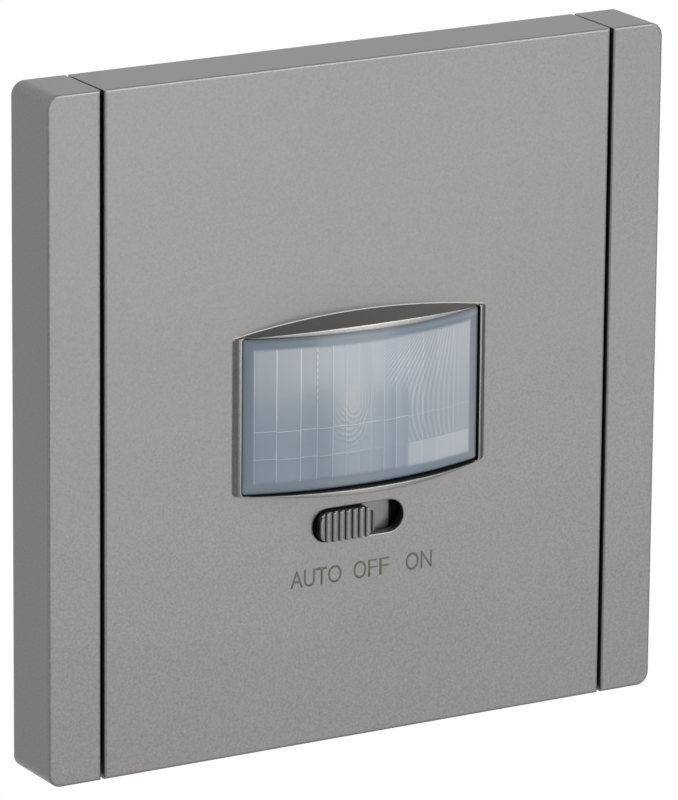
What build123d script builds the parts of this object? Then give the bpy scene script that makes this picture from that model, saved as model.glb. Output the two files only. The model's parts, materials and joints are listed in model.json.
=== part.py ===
from build123d import *
import os
from math import sqrt

# A wall switch with a motion sensor behind a segmented lens and a three position slide.
# Millimetres. The origin is the centre of the plate's back face, on the wall.
# +X is to the right, +Z is up, and the front of the switch faces -Y.

# Plate, seen from the front
plate_width = 90.0
plate_height = 90.0
plate_depth = 9.6
plate_corner_radius = 1.8
edge_radius = 0.3
cover_wall = 1.5
strip_width = 7.5
groove_width = 0.5
panel_side_wall = 1.2
panel_side_depth = 3.6

# Clearances shared by all pieces
moving_gap = 0.3
fit_gap = 0.2
shaft_gap = 0.05
cut_overrun = 1.0

# Bezel round the lens, moulded in one with the front panel
bezel_centre_z = 0.3
bezel_base_half_width = 18.7
bezel_base_end_height = 10.3
bezel_base_mid_height = 11.9
bezel_base_corner = 0.6
bezel_rim_half_width = 18.0
bezel_rim_width = 0.35
bezel_proud = 4.6
bezel_side_proud = 0.45
bezel_draft_degrees = 9.3

# Lens
lens_gap = 0.3
lens_side_recess = 0.3
lens_middle_recess = 1.05
lens_wall = 1.1
lens_corner = 0.5
lens_half_width = bezel_rim_half_width - bezel_rim_width - lens_gap
lens_half_height = 10.15
lens_flange_overlap = 1.0
lens_flange_depth = 1.0
facet_depth = 0.35
facet_rib = 0.3
facet_area_half_width = 16.0
facet_area_top = 8.5
facet_area_bottom = -8.5
facet_column_shares = (0.0, 0.119, 0.234, 0.35, 0.484, 0.631, 0.8125, 1.0)
facet_row_shares = (0.0, 0.165, 0.371, 1.0)

# Slide knob, its slot and the carrier behind the slot
slot_length = 13.6
slot_height = 4.4
slide_centre_z = -15.9
slide_travel = 4.4
knob_length = 8.06
knob_height = 3.9
knob_proud = 1.2
knob_corner = 1.4
knob_groove_count = 8
knob_groove_pitch = 0.98
knob_groove_width = 0.48
knob_groove_depth = 0.4
carrier_length = 16.0
carrier_height = 5.6
carrier_wall = 1.0
channel_floor_wall = 1.2
channel_rim = 1.2

# Slide switch on the sensor board
lever_width = 2.0
lever_socket_depth = 1.8
lever_foot_length = 4.2
lever_foot_height = 2.8
switch_length = 12.4
switch_height = 5.0
switch_rise = 5.6
switch_can_wall = 0.4
switch_base_depth = 2.0
switch_tail_half_width = 0.4
switch_tail_half_wall = 0.2
switch_tail_length = 1.4
switch_tail_pitch = 2.5
switch_tail_row = 3.2

# Module that sits in the wall box
module_width = 46.0
module_height = 54.0
module_back = 27.0
module_corner = 2.0
hidden_sides = 8
head_sides = 12
drum_sides = 24
module_wall = 1.6
module_flange_reach = 2.0
module_flange_depth = 1.2
rim_flange_reach = 2.2

# Support frame
frame_depth = 4.0
frame_rebate = 1.6
frame_corner = 1.5
frame_rib_width = 1.2
frame_rib_height = 1.2
clip_length = 6.0
clip_wall = 1.2
clip_tip_gap = 1.0
panel_clip_inset = 2.2
panel_clip_drop = 19.0
strip_clip_drop = 15.0

# Fixing screws, at the standard spacing of a single wall box
fixing_spacing = 60.3
fixing_screw_radius = 1.75
fixing_screw_length = 25.0
fixing_neck_radius = 1.55
fixing_head_radius = 3.2
fixing_head_height = 2.2
fixing_slot_play = 3.0
fixing_slot_radius = 2.1
driver_slot_width = 0.9
driver_slot_depth = 0.9

# Circuit boards
board_wall = 1.6
sensor_board_front = 2.0
power_board_front = 12.0
board_rest_width = 2.0
board_rest_length = 3.0
board_rest_height_share = 0.4

# Corner columns and the screws that close the module
column_inset = 4.5
column_half_width = 3.3
boss_half_width = 2.5
housing_screw_radius = 1.1
housing_screw_length = 14.0
housing_screw_head_radius = 2.0
housing_screw_head_height = 1.6
housing_screw_seat = 6.4
column_hole_radius = 1.4
counterbore_radius = 2.4

# Heat sensor behind the lens
sensor_can_radius = 4.1
sensor_can_height = 4.2
sensor_rim_radius = 4.6
sensor_rim_height = 0.8
sensor_window_width = 4.2
sensor_window_height = 3.4
sensor_window_depth = 0.5
sensor_lead_radius = 0.25
sensor_lead_length = 1.2
sensor_lead_circle = 2.5
baffle_depth = 5.0

# Round lamp and light sensor beside it
lamp_radius = 1.5
lamp_tip_share = 0.6
lamp_height = 4.4
lamp_x = 10.6
lamp_z = 4.4

# Dials for time, light level and range, set with a screwdriver
dial_boss_gap = 1.2
dial_drop = 2.9
dial_radius = 3.0
dial_head_depth = 1.8
dial_shaft_radius = 1.2
dial_shaft_seat = 1.0
dial_slot_width = 0.9
dial_slot_depth = 0.8
dial_slot_length_share = 0.8
dial_hole_rim = 0.3
trimmer_width = 6.6
trimmer_height = 3.5

# Small parts on the back of the sensor board
controller_length = 8.6
controller_width = 5.3
controller_height = 1.6
controller_place_shares = (-0.42, 0.28)
amplifier_length = 5.0
amplifier_width = 4.0
amplifier_place_shares = (0.42, 0.28)
chip_leg_width = 0.4
chip_leg_reach = 0.9
chip_leg_height = 0.5
chip_leg_pitch = 1.27
controller_leg_count = 6
amplifier_leg_count = 3
resistor_length = 1.6
resistor_width = 0.8
resistor_height = 0.5
resistor_column_shares = (-0.75, -0.6, 0.6, 0.75)
resistor_row_shares = (-0.12, -0.24, -0.36)
small_capacitor_radius = 2.0
small_capacitor_height = 5.0
small_capacitor_place_shares = ((-0.25, -0.3), (0.25, -0.3))

# Link between the boards
link_pin_count = 6
link_pin_pitch = 2.0
link_pin_half_width = 0.3
link_spacer_height = 2.4
link_spacer_width = 2.2
link_place_share = 0.86

# Terminals, on the back of the power board
terminal_count = 3
terminal_side_gap = 2.5
terminal_width_share = 0.6737
terminal_length = 9.0
terminal_height = 8.0
terminal_end_gap = 0.4
wire_radius = 1.6
wire_above_board = 3.4
terminal_screw_radius = 1.4
terminal_screw_head_radius = 2.2
terminal_screw_head_height = 1.8
terminal_access_radius = 2.7
wire_entry_half_width = 2.3

# Tall parts on the back of the power board
relay_width = 10.0
relay_length = 19.0
relay_height = 10.8
relay_corner = 0.6
relay_place_shares = (-0.6, 0.12)
smoothing_capacitor_radius = 4.0
smoothing_capacitor_height = 11.0
smoothing_capacitor_groove = 0.3
smoothing_capacitor_place_shares = (0.09, 0.76)
film_capacitor_length = 13.0
film_capacitor_width = 6.0
film_capacitor_height = 10.6
film_capacitor_corner = 0.6
film_capacitor_place_shares = (0.42, 0.34)
varistor_radius = 3.5
varistor_wall = 3.2
varistor_rise = 1.6
varistor_lead_half_width = 0.3
varistor_lead_spacing = 5.0
varistor_place_shares = (0.55, 0.66)
fuse_radius = 4.0
fuse_height = 7.6
fuse_place_shares = (-0.4, 0.79)
choke_radius = 4.0
choke_flange = 1.0
choke_height = 9.0
choke_core_share = 0.76
choke_place_shares = (-0.02, -0.2)
rectifier_length = 8.0
rectifier_width = 6.0
rectifier_height = 2.8
rectifier_place_shares = (0.5, -0.38)
power_resistor_radius = 1.2
power_resistor_length = 6.4
power_resistor_lead_width = 0.6
power_resistor_lead_length = 1.6
power_resistor_row_shares = (-0.08, 0.06)
power_resistor_column_share = 0.5

# Values worked out from the sizes above
plate_front = -plate_depth
panel_inner = plate_front + cover_wall
half_plate_width = plate_width / 2
half_plate_height = plate_height / 2
panel_half_width = half_plate_width - strip_width - groove_width
panel_half_height = half_plate_height
frame_half_width = half_plate_width - cover_wall - moving_gap
frame_half_height = half_plate_height - cover_wall - moving_gap
frame_front = -frame_depth
module_front = panel_inner + moving_gap
module_half_width = module_width / 2
module_half_height = module_height / 2
module_inner_half_width = module_half_width - module_wall
module_inner_half_height = module_half_height - module_wall
parting = -frame_rebate
window_half_width = lens_half_width + lens_gap
window_half_height = lens_half_height + lens_gap
bezel_rise = bezel_proud - bezel_side_proud
bezel_radius = (bezel_rim_half_width ** 2 + bezel_rise ** 2) / (2 * bezel_rise)
lens_proud = bezel_proud - lens_middle_recess
lens_rise = lens_proud - (bezel_side_proud - lens_side_recess)
lens_radius = (bezel_rim_half_width ** 2 + lens_rise ** 2) / (2 * lens_rise)
lens_flange_back = module_front + lens_flange_depth
baffle_end = lens_flange_back + baffle_depth
knob_front = plate_front - knob_proud
carrier_front = module_front + fit_gap
carrier_back = carrier_front + carrier_wall
channel_floor = carrier_back + moving_gap
slide_rest_x = -slide_travel / 2
sensor_board_back = sensor_board_front + board_wall
power_board_back = power_board_front + board_wall
board_half_width = module_inner_half_width - fit_gap
board_half_height = module_inner_half_height - fit_gap
column_x = module_half_width - column_inset
column_z = module_half_height - column_inset
panel_clip_x = panel_half_width - panel_side_wall - panel_clip_inset
panel_clip_z = panel_half_height - panel_clip_drop
strip_clip_z = half_plate_height - strip_clip_drop
strip_clip_x = half_plate_width - (strip_width + cover_wall - panel_side_wall) / 2
dial_pitch = column_x - boss_half_width - trimmer_width / 2 - dial_boss_gap
dial_z = column_z - dial_drop
dial_front = module_front
dial_back = dial_front + dial_head_depth
trimmer_front = sensor_board_front - trimmer_height
switch_front = sensor_board_front - switch_rise
switch_base_front = sensor_board_front - switch_base_depth
back_wall_inner = module_back - module_wall
terminal_bottom_z = -board_half_height + terminal_end_gap
terminal_middle_z = terminal_bottom_z + terminal_length / 2
terminal_back = power_board_back + terminal_height
wire_y = power_board_back + wire_above_board
terminal_space = 2 * (column_x - column_half_width - terminal_side_gap)
terminal_pitch = terminal_space / (terminal_count - 1 + terminal_width_share)
terminal_width = terminal_pitch * terminal_width_share


def from_wall(y):
    """Plane square to the wall's normal at y, with sketch axes along X and Z."""
    return Plane.XZ.offset(-y)


def prism(sketch, front, back):
    """Straight body from y = front to y = back with the sketch as its section."""
    return extrude(from_wall(back) * sketch, amount=back - front)


def between(left, right, bottom, top):
    """Rectangle given by its sides."""
    middle = Pos((left + right) / 2, (bottom + top) / 2)
    return middle * Rectangle(right - left, top - bottom)


def centred(half_width, half_height):
    """Rectangle about the middle of the switch."""
    return Rectangle(2 * half_width, 2 * half_height)


def rod(x, z, radius, front, back):
    """Round bar along Y."""
    return prism(Pos(x, z) * Circle(radius), front, back)


def bar(x, z, radius, sides, front, back):
    """Bar along Y with a few flat sides, for round details that repeat out of sight."""
    return prism(Pos(x, z) * RegularPolygon(radius, sides), front, back)


def row_places(pitch, count):
    """Places of a row of equal steps about its middle."""
    first = -pitch * (count - 1) / 2
    return [first + number * pitch for number in range(count)]


def upright_rod(x, y, radius, bottom, top):
    """Round bar along Z."""
    return extrude(Plane.XY.offset(bottom) * Pos(x, y) * Circle(radius), amount=top - bottom)


def arched(half_width, end_height, mid_height, corner):
    """Outline with straight sides and gently arched top and bottom."""
    top = ThreePointArc((-half_width, end_height), (0, mid_height), (half_width, end_height))
    right = Line((half_width, end_height), (half_width, -end_height))
    bottom = ThreePointArc((half_width, -end_height), (0, -mid_height), (-half_width, -end_height))
    left = Line((-half_width, -end_height), (-half_width, end_height))
    face = make_face([top, right, bottom, left])
    return fillet(face.vertices(), corner)


def crown_front(proud, radius, x):
    """Where a crown of this radius, proud of the plate by this much in its middle, lies at x."""
    return plate_front - proud + radius - sqrt(radius ** 2 - x ** 2)


def crowned_slab(half_width, proud, radius, back):
    """Slab over the whole plate's height whose front is a crown about an upright axis."""
    side = crown_front(proud, radius, half_width)
    middle = crown_front(proud, radius, 0)
    crown = ThreePointArc((-half_width, side), (0, middle), (half_width, side))
    rest = Polyline((half_width, side), (half_width, back), (-half_width, back), (-half_width, side))
    face = make_face([crown, rest])
    return extrude(Plane.XY.offset(-half_plate_height) * face, amount=plate_height)


def on_board(shares):
    """Place on a circuit board from its shares of the board's half sizes."""
    return shares[0] * board_half_width, shares[1] * board_half_height


def inner_screw(x, z, head_radius, head_height, radius, seat, length):
    """Slotted screw inside the module, driven from the back, with its head behind y = seat."""
    head_end = seat + head_height
    body = bar(x, z, head_radius, head_sides, seat, head_end)
    body += bar(x, z, radius, hidden_sides, seat - length, seat)
    slot_depth = driver_slot_depth * head_height / fixing_head_height
    slot = Pos(x, z) * Rectangle(2 * head_radius + cut_overrun, driver_slot_width)
    return body - prism(slot, head_end - slot_depth, head_end + cut_overrun)


def screw_ways():
    """Space that stays free round the heads and shanks of the fixing screws."""
    ways = Part()
    head_front = frame_front - fixing_head_height - moving_gap
    for x in (-fixing_spacing / 2, fixing_spacing / 2):
        ways += rod(x, 0, fixing_head_radius + moving_gap, head_front, frame_front)
        ways += rod(x, 0, fixing_screw_radius + moving_gap, frame_front, module_back)
    return ways


def side_strip(side):
    """Outer strip of the plate: front wall, outer wall, and returns at the top and bottom."""
    inner = panel_half_width + groove_width
    outline = between(inner, half_plate_width, -half_plate_height, half_plate_height)
    body = prism(outline, plate_front, 0)
    corners = body.edges().filter_by(Axis.Y).sort_by(Axis.X)[-2:]
    body = fillet(corners, plate_corner_radius)
    body = fillet(body.faces().sort_by(Axis.Y)[0].outer_wire().edges(), edge_radius)
    pocket = between(
        inner + panel_side_wall,
        half_plate_width - cover_wall,
        -half_plate_height + cover_wall,
        half_plate_height - cover_wall,
    )
    body -= prism(pocket, panel_inner, cut_overrun)
    over_frame = between(
        inner - cut_overrun,
        half_plate_width - cover_wall,
        -half_plate_height + cover_wall,
        half_plate_height - cover_wall,
    )
    body -= prism(over_frame, frame_front, cut_overrun)
    for z in (-strip_clip_z, strip_clip_z):
        body += clip_leg(strip_clip_x, z)
    body -= screw_ways()
    return body if side > 0 else mirror(body, Plane.YZ)


def clip_leg(x, z):
    """Straight leg from a cover into its slot in the support frame."""
    return prism(Pos(x, z) * Rectangle(clip_wall, clip_length), panel_inner, -clip_tip_gap)


def clip_slot(x, z):
    """Slot in the support frame for a clip leg."""
    outline = Rectangle(clip_wall + 2 * moving_gap, clip_length + 2 * moving_gap)
    return prism(Pos(x, z) * outline, frame_front - cut_overrun, cut_overrun)


def bezel():
    """Raised surround of the lens, with drafted walls and a crowned rim."""
    base = Pos(0, bezel_centre_z) * arched(
        bezel_base_half_width, bezel_base_end_height, bezel_base_mid_height, bezel_base_corner
    )
    reach = bezel_proud + cut_overrun
    tower = extrude(from_wall(plate_front) * base, amount=reach, taper=bezel_draft_degrees)
    side = crown_front(bezel_proud, bezel_radius, bezel_rim_half_width)
    middle = crown_front(bezel_proud, bezel_radius, 0)
    rim = ThreePointArc(
        (-bezel_rim_half_width, side), (0, middle), (bezel_rim_half_width, side)
    )
    foot = Polyline(
        (bezel_rim_half_width, side),
        (bezel_base_half_width, plate_front),
        (-bezel_base_half_width, plate_front),
        (-bezel_rim_half_width, side),
    )
    section = Plane.XY.offset(-half_plate_height) * make_face([rim, foot])
    return tower & extrude(section, amount=plate_height)


def window(half_width, half_height):
    """Rounded opening or outline about the middle of the bezel."""
    outline = RectangleRounded(2 * half_width, 2 * half_height, lens_corner)
    return Pos(0, bezel_centre_z) * outline


def front_panel():
    """Centre cover with its bezel, lens window, knob slot, returns and clip legs."""
    outline = centred(panel_half_width, panel_half_height)
    body = prism(outline, plate_front, 0)
    front_edges = body.faces().sort_by(Axis.Y)[0].outer_wire().edges()
    body = fillet(front_edges, edge_radius)
    inside = centred(panel_half_width - panel_side_wall, panel_half_height - cover_wall)
    body -= prism(inside, panel_inner, cut_overrun)
    side_gap = centred(panel_half_width + cut_overrun, panel_half_height - cover_wall)
    body -= prism(side_gap, panel_inner + panel_side_depth, cut_overrun)
    for x in (-panel_clip_x, panel_clip_x):
        for z in (-panel_clip_z, panel_clip_z):
            body += clip_leg(x, z)
    body += bezel()
    opening = window(window_half_width, window_half_height)
    body -= prism(opening, plate_front - bezel_proud - cut_overrun, panel_inner + cut_overrun)
    knob_slot = Pos(0, slide_centre_z) * SlotOverall(slot_length, slot_height)
    body -= prism(knob_slot, plate_front - cut_overrun, panel_inner + cut_overrun)
    return body - screw_ways()


def facet_cells():
    """Fields of the lens, column by column and row by row, as one sketch."""
    half = facet_area_half_width
    rights = [share * half for share in facet_column_shares]
    columns = list(zip(rights[:-1], rights[1:]))
    columns += [(-right, -left) for left, right in columns]
    span = facet_area_top - facet_area_bottom
    rows = [facet_area_bottom + share * span for share in facet_row_shares]
    cells = Sketch()
    inset = facet_rib / 2
    for left, right in columns:
        for bottom, top in zip(rows[:-1], rows[1:]):
            cells += between(left + inset, right - inset, bottom + inset, top - inset)
    return cells


def lens():
    """Crowned milky window with a flange behind the panel and thinned fields inside."""
    reach = plate_front - bezel_proud
    outline = window(lens_half_width, lens_half_height)
    body = prism(outline, reach, lens_flange_back)
    body &= crowned_slab(lens_half_width, lens_proud, lens_radius, lens_flange_back)
    flange = Pos(0, bezel_centre_z) * centred(
        window_half_width + lens_flange_overlap, window_half_height + lens_flange_overlap
    )
    body += prism(flange, module_front, lens_flange_back)
    inner_half_width = lens_half_width - lens_wall
    inner_proud = lens_proud - lens_wall
    inner_radius = lens_radius - lens_wall
    inside = Pos(0, bezel_centre_z) * centred(inner_half_width, lens_half_height - lens_wall)
    hollow_back = lens_flange_back + cut_overrun
    hollow = prism(inside, reach, hollow_back)
    body -= hollow & crowned_slab(inner_half_width, inner_proud, inner_radius, hollow_back)
    cells = prism(facet_cells(), reach, lens_flange_back)
    cells &= crowned_slab(
        facet_area_half_width, inner_proud + facet_depth, inner_radius + facet_depth,
        lens_flange_back,
    )
    return body - cells


def mode_knob():
    """Ribbed knob on its flat carrier, with a socket for the switch lever."""
    carrier = RectangleRounded(carrier_length, carrier_height, carrier_height / 4)
    body = prism(carrier, carrier_front, carrier_back)
    grip = RectangleRounded(knob_length, knob_height, knob_corner)
    body += prism(grip, knob_front, carrier_front)
    for x in row_places(knob_groove_pitch, knob_groove_count):
        groove = Pos(x, 0) * Rectangle(knob_groove_width, knob_height + cut_overrun)
        body -= prism(groove, knob_front - cut_overrun, knob_front + knob_groove_depth)
    socket_width = lever_width + 2 * shaft_gap
    socket = Rectangle(socket_width, socket_width)
    body -= prism(socket, carrier_back - lever_socket_depth, carrier_back + cut_overrun)
    return Pos(slide_rest_x, 0, slide_centre_z) * body


def switch_lever():
    """Lever of the slide switch, from its foot inside the can into the knob."""
    tip = carrier_back - lever_socket_depth + shaft_gap
    foot_front = switch_front + switch_can_wall + moving_gap
    foot_back = switch_base_front - moving_gap
    body = prism(Rectangle(lever_width, lever_width), tip, foot_back)
    body += prism(Rectangle(lever_foot_length, lever_foot_height), foot_front, foot_back)
    return Pos(slide_rest_x, 0, slide_centre_z) * body


def slide_switch_can():
    """Folded metal can over the slide switch, open for the lever."""
    outline = Pos(0, slide_centre_z) * Rectangle(switch_length, switch_height)
    inner = Pos(0, slide_centre_z) * Rectangle(
        switch_length - 2 * switch_can_wall, switch_height - 2 * switch_can_wall
    )
    lever_way = Pos(0, slide_centre_z) * Rectangle(
        lever_width + slide_travel + 2 * moving_gap, lever_width + 2 * moving_gap
    )
    body = prism(outline, switch_front, sensor_board_front)
    body -= prism(inner, switch_front + switch_can_wall, sensor_board_front + cut_overrun)
    return body - prism(lever_way, switch_front - cut_overrun, switch_front + cut_overrun)


def slide_switch_base():
    """Insulating base with the switch's solder tails behind the board."""
    outline = Pos(0, slide_centre_z) * Rectangle(
        switch_length - 2 * switch_can_wall, switch_height - 2 * switch_can_wall
    )
    return prism(outline, switch_base_front, sensor_board_front)


def slide_switch_tails():
    """Two rows of solder tails behind the sensor board."""
    tails = Part()
    for x in (-switch_tail_pitch, 0, switch_tail_pitch):
        for z in (slide_centre_z - switch_tail_row / 2, slide_centre_z + switch_tail_row / 2):
            end = sensor_board_back + switch_tail_length
            tail = Pos(x, z) * centred(switch_tail_half_width, switch_tail_half_wall)
            tails += prism(tail, sensor_board_back, end)
    return tails


def column_places():
    """Corners of the module that its screws pass through."""
    return [(x, z) for x in (-column_x, column_x) for z in (-column_z, column_z)]


def dial_places():
    """Middles of the three dials."""
    return [(number * dial_pitch, dial_z) for number in (-1, 0, 1)]


def module_cover():
    """Front half of the module: lens seat, slide channel, dial holes, screw bosses and flange."""
    outline = RectangleRounded(module_width, module_height, module_corner)
    flange = RectangleRounded(
        module_width + 2 * module_flange_reach,
        module_height + 2 * module_flange_reach,
        module_corner + module_flange_reach,
    )
    inside = centred(module_inner_half_width, module_inner_half_height)
    inner_face = module_front + module_wall
    body = prism(outline, module_front, parting)
    body += prism(flange, frame_front - module_flange_depth, frame_front)
    body -= prism(inside, inner_face, parting + cut_overrun)
    body += lens_seat_wall() + channel_block()
    body -= lens_seat_space()
    body -= channel_space()
    for x, z in dial_places():
        body -= rod(x, z, dial_radius + dial_hole_rim, module_front - cut_overrun, parting)
    pilot = housing_screw_radius + shaft_gap
    for x, z in column_places():
        boss = Pos(x, z) * centred(boss_half_width, boss_half_width)
        body += prism(boss, inner_face, sensor_board_front)
        body -= bar(
            x, z, pilot, hidden_sides, inner_face + shaft_gap, sensor_board_front + cut_overrun
        )
    return body - screw_ways()


def lens_seat_half_sizes():
    """Half width and half height of the recess that the lens flange lies in."""
    reach = lens_flange_overlap + fit_gap
    return window_half_width + reach, window_half_height + reach


def lens_seat_wall():
    """Thickened rim round the lens seat, and the frame of the baffle round the heat sensor."""
    half_width, half_height = lens_seat_half_sizes()
    rim = centred(half_width + lens_wall, half_height + lens_wall)
    body = prism(rim, module_front, lens_flange_back + module_wall)
    body += prism(centred(lens_half_width, lens_half_height), module_front, baffle_end)
    return Pos(0, 0, bezel_centre_z) * body


def lens_seat_space():
    """Recess for the lens flange and the way through it to the heat sensor."""
    half_width, half_height = lens_seat_half_sizes()
    opening = centred(lens_half_width - lens_wall, lens_half_height - lens_wall)
    body = prism(centred(half_width, half_height), module_front - cut_overrun, lens_flange_back)
    body += prism(opening, module_front - cut_overrun, baffle_end + cut_overrun)
    return Pos(0, 0, bezel_centre_z) * body


def channel_block():
    """Material round the channel of the knob's carrier."""
    half_length, half_height = channel_half_sizes()
    block = Pos(0, slide_centre_z) * centred(half_length + channel_rim, half_height + channel_rim)
    return prism(block, module_front, channel_floor + channel_floor_wall)


def channel_half_sizes():
    """Half length and half height of the channel, with room for the carrier's travel."""
    half_length = (carrier_length + slide_travel) / 2 + moving_gap
    return half_length, carrier_height / 2 + moving_gap


def channel_space():
    """Channel for the carrier, with a way through its floor for the lever."""
    middle = Pos(0, slide_centre_z)
    channel = middle * centred(*channel_half_sizes())
    lever_way = middle * Rectangle(
        lever_width + slide_travel + 2 * moving_gap, lever_width + 2 * moving_gap
    )
    body = prism(channel, module_front - cut_overrun, channel_floor)
    return body + prism(lever_way, module_front, channel_floor + 2 * channel_floor_wall)


def support_frame():
    """Flat frame screwed to the wall box, which the module and the covers sit on."""
    outline = RectangleRounded(2 * frame_half_width, 2 * frame_half_height, frame_corner)
    body = prism(outline, frame_front, 0)
    opening = centred(module_half_width + moving_gap, module_half_height + moving_gap)
    rebate_reach = rim_flange_reach + moving_gap
    rebate = centred(module_half_width + rebate_reach, module_half_height + rebate_reach)
    rib_z = frame_half_height - 2 * frame_rib_width
    rib_half_width = panel_half_width - panel_side_wall - 2 * moving_gap - clip_wall
    for z in (-rib_z, rib_z):
        rib = Pos(0, z) * Rectangle(2 * rib_half_width, frame_rib_width)
        body += prism(rib, frame_front - frame_rib_height, frame_front)
    body -= prism(opening, frame_front - cut_overrun, cut_overrun)
    body -= prism(rebate, parting, cut_overrun)
    for x in (-fixing_spacing / 2, fixing_spacing / 2):
        slot = Pos(x, 0) * SlotOverall(
            2 * fixing_slot_radius + fixing_slot_play, 2 * fixing_slot_radius, rotation=90
        )
        body -= prism(slot, frame_front - cut_overrun, cut_overrun)
    for side in (-1, 1):
        for z in (-1, 1):
            body -= clip_slot(side * panel_clip_x, z * panel_clip_z)
            body -= clip_slot(side * strip_clip_x, z * strip_clip_z)
    return body


def fixing_screws():
    """The two screws that hold the frame to the wall box."""
    pair = Part()
    for x in (-fixing_spacing / 2, fixing_spacing / 2):
        head_front = frame_front - fixing_head_height
        body = rod(x, 0, fixing_head_radius, head_front, frame_front)
        body += rod(x, 0, fixing_neck_radius, frame_front, 0)
        body += rod(x, 0, fixing_screw_radius, 0, frame_front + fixing_screw_length)
        slot = Pos(x, 0) * Rectangle(2 * fixing_head_radius + cut_overrun, driver_slot_width)
        pair += body - prism(slot, head_front - cut_overrun, head_front + driver_slot_depth)
    return pair


def rear_housing():
    """Deep tub behind the frame, with screw columns, board rests and terminal openings."""
    outline = RectangleRounded(module_width, module_height, module_corner)
    inside = centred(module_inner_half_width, module_inner_half_height)
    rim = RectangleRounded(
        module_width + 2 * rim_flange_reach,
        module_height + 2 * rim_flange_reach,
        module_corner + rim_flange_reach,
    )
    body = prism(outline, parting, module_back) + prism(rim, parting, 0)
    body -= prism(inside, parting - cut_overrun, back_wall_inner)
    for x, z in column_places():
        column = Pos(x, z) * centred(column_half_width, column_half_width)
        body += prism(column, sensor_board_back, module_back)
        seat = sensor_board_back + housing_screw_seat
        body -= bar(
            x, z, column_hole_radius, hidden_sides, sensor_board_back - cut_overrun, seat
        )
        body -= bar(x, z, counterbore_radius, head_sides, seat, module_back + cut_overrun)
    rest_z = board_rest_height_share * board_half_height
    for x in (-1, 1):
        for z in (-rest_z, rest_z):
            outer = module_inner_half_width
            inner = outer - board_rest_width
            rest = between(min(x * inner, x * outer), max(x * inner, x * outer),
                           z - board_rest_length / 2, z + board_rest_length / 2)
            body += prism(rest, power_board_back, back_wall_inner)
    for x in row_places(terminal_pitch, terminal_count):
        body -= rod(
            x, terminal_middle_z, terminal_access_radius, terminal_back, module_back + cut_overrun
        )
        entry = Plane.XY.offset(-module_half_height - cut_overrun) * Pos(x, wire_y)
        entry *= centred(wire_entry_half_width, wire_entry_half_width)
        body -= extrude(entry, amount=module_wall + 2 * cut_overrun)
    return body - screw_ways()


def housing_screws():
    """Four screws from the back that close the module on the frame."""
    seat = sensor_board_back + housing_screw_seat
    group = Part()
    for x, z in column_places():
        group += inner_screw(
            x, z, housing_screw_head_radius, housing_screw_head_height,
            housing_screw_radius, seat, housing_screw_length,
        )
    return group


def sensor_board():
    """Front circuit board, held between the cover's bosses and the columns."""
    outline = centred(board_half_width, board_half_height)
    body = prism(outline, sensor_board_front, sensor_board_back)
    for x, z in column_places():
        body -= bar(
            x, z, column_hole_radius, hidden_sides, sensor_board_front - cut_overrun,
            sensor_board_back + cut_overrun,
        )
    return body


def power_board():
    """Rear circuit board, notched round the screw columns."""
    notch_half_width = column_x - column_half_width - fit_gap
    notch_half_height = column_z - column_half_width - fit_gap
    outline = centred(notch_half_width, board_half_height)
    outline += centred(board_half_width, notch_half_height)
    return prism(outline, power_board_front, power_board_back)


def heat_sensor_can():
    """Metal can of the heat sensor, recessed for its window."""
    front = sensor_board_front - sensor_can_height
    rim_front = sensor_board_front - sensor_rim_height
    body = bar(0, 0, sensor_can_radius, drum_sides, front, sensor_board_front)
    body += bar(0, 0, sensor_rim_radius, drum_sides, rim_front, sensor_board_front)
    window = Rectangle(sensor_window_width, sensor_window_height)
    return body - prism(window, front - cut_overrun, front + sensor_window_depth)


def heat_sensor_window():
    """Filter window set into the front of the sensor can."""
    front = sensor_board_front - sensor_can_height
    window = Rectangle(sensor_window_width, sensor_window_height)
    return prism(window, front, front + sensor_window_depth)


def heat_sensor_leads():
    """Three lead ends soldered behind the board."""
    leads = Part()
    place = sensor_lead_circle / sqrt(2)
    end = sensor_board_back + sensor_lead_length
    for x, z in ((-place, -place), (place, -place), (place, place)):
        leads += bar(x, z, sensor_lead_radius, hidden_sides, sensor_board_back, end)
    return leads


def round_lamp(x):
    """Small round lamp or light sensor with a tapered tip."""
    lamp_front = sensor_board_front - lamp_height
    body = bar(x, lamp_z, lamp_radius, head_sides, lamp_front, sensor_board_front)
    tip = body.faces().sort_by(Axis.Y)[0].outer_wire().edges()
    return chamfer(tip, lamp_radius * lamp_tip_share)


def dial(place):
    """Dial with a screwdriver slot, and its shaft down to the trimmer."""
    x, z = place
    shaft_end = trimmer_front + dial_shaft_seat
    body = rod(x, z, dial_radius, dial_front, dial_back)
    body += bar(x, z, dial_shaft_radius, hidden_sides, dial_back, shaft_end)
    slot_length_here = 2 * dial_radius * dial_slot_length_share
    slot = Pos(x, z) * Rectangle(dial_slot_width, slot_length_here)
    return body - prism(slot, dial_front - cut_overrun, dial_front + dial_slot_depth)


def trimmer(place):
    """Square body of an adjustable resistor, bored for the dial's shaft."""
    x, z = place
    body = prism(
        Pos(x, z) * Rectangle(trimmer_width, trimmer_width), trimmer_front, sensor_board_front
    )
    hole_end = trimmer_front + dial_shaft_seat + moving_gap
    return body - bar(
        x, z, dial_shaft_radius + moving_gap, hidden_sides, trimmer_front - cut_overrun, hole_end
    )


def chip(shares, length, width, height, legs):
    """Flat chip on the back of the sensor board, with legs along both long sides."""
    x, z = on_board(shares)
    body = prism(Pos(x, z) * Rectangle(length, width), sensor_board_back, sensor_board_back + height)
    for place in row_places(chip_leg_pitch, legs):
        leg = Pos(x + place, z) * Rectangle(
            chip_leg_width, width + 2 * chip_leg_reach
        )
        body += prism(leg, sensor_board_back, sensor_board_back + chip_leg_height)
    return body


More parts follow.
